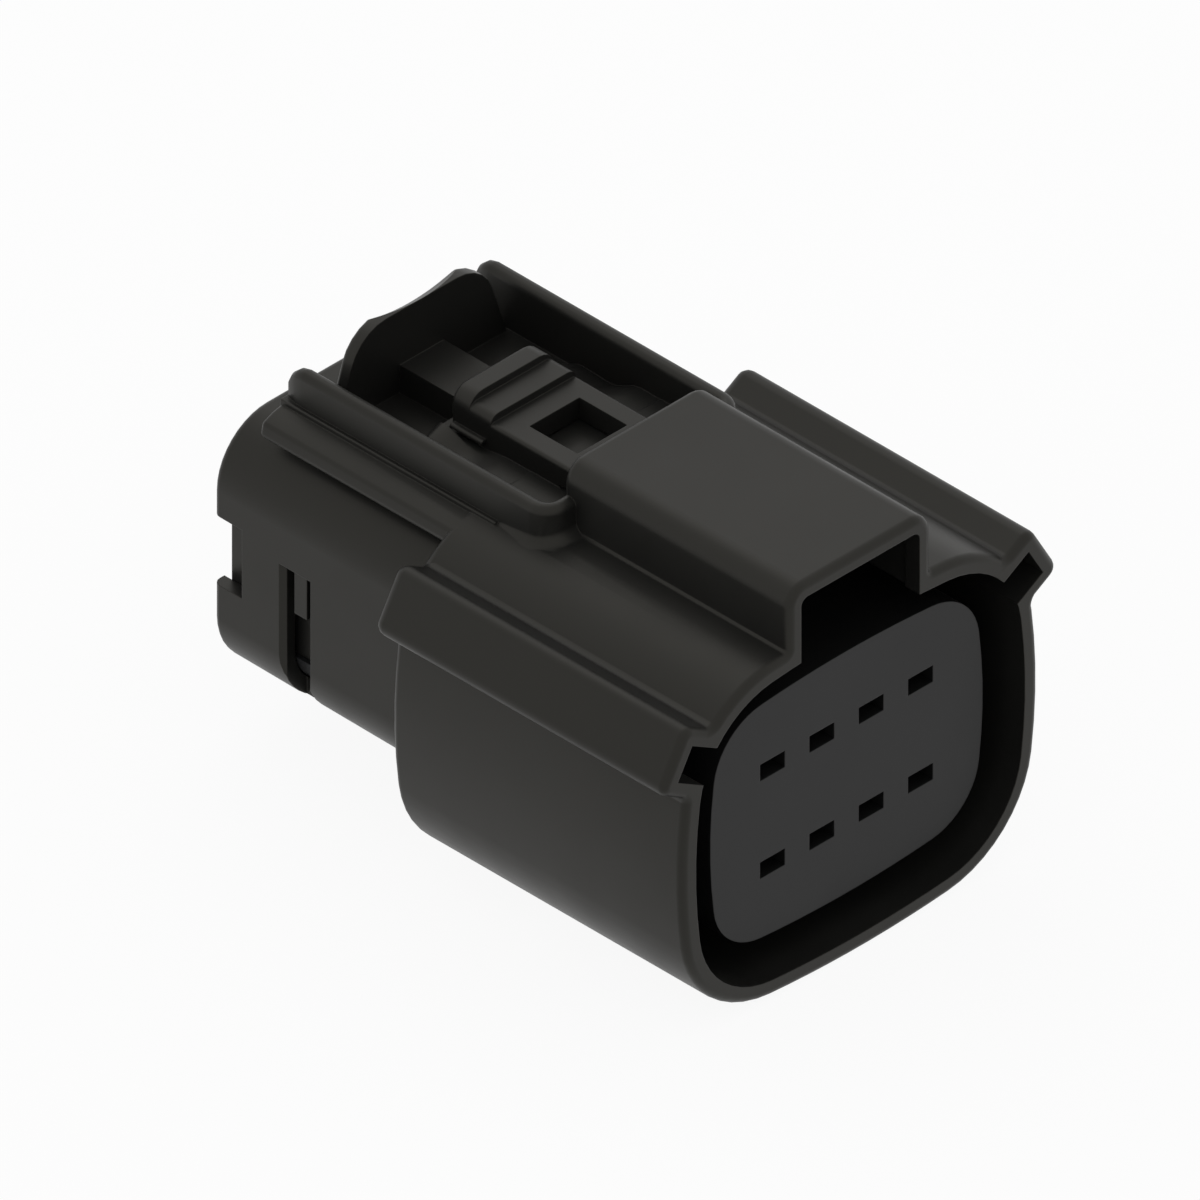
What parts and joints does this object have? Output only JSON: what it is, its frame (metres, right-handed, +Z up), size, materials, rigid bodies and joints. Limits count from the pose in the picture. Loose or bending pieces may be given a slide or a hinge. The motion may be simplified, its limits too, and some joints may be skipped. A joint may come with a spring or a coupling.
{
  "type": "sealed connector housing",
  "caption": "Black sealed cable connector housing: oval nose in a shroud with key rails, hooded latch arm, finger guard, seals and a sliding secondary lock.",
  "frame": {"origin": "under the middle of the housing, on the surface it rests on", "axes": "-Y is the way the mating face looks, +Z is up to the latch, X is across the rows of contacts"},
  "size_m": [0.0278, 0.0362, 0.0245],
  "materials": {
    "moulding": "satin",
    "lock": "satin",
    "seal": "matt"
  },
  "bodies": {
    "body": {"housing": "moulding", "shroud": "moulding", "tower": "moulding", "latch": "moulding", "interface_seal": "seal", "mat_seal": "seal", "seal_retainer": "moulding"},
    "lock": {"secondary_lock": "lock"}
  },
  "joints": [
    {"name": "lock_slide", "type": "slide", "parent": "body", "child": "lock", "axis": [0, -1, 0], "range_m": [0, 0.0016]}
  ]
}
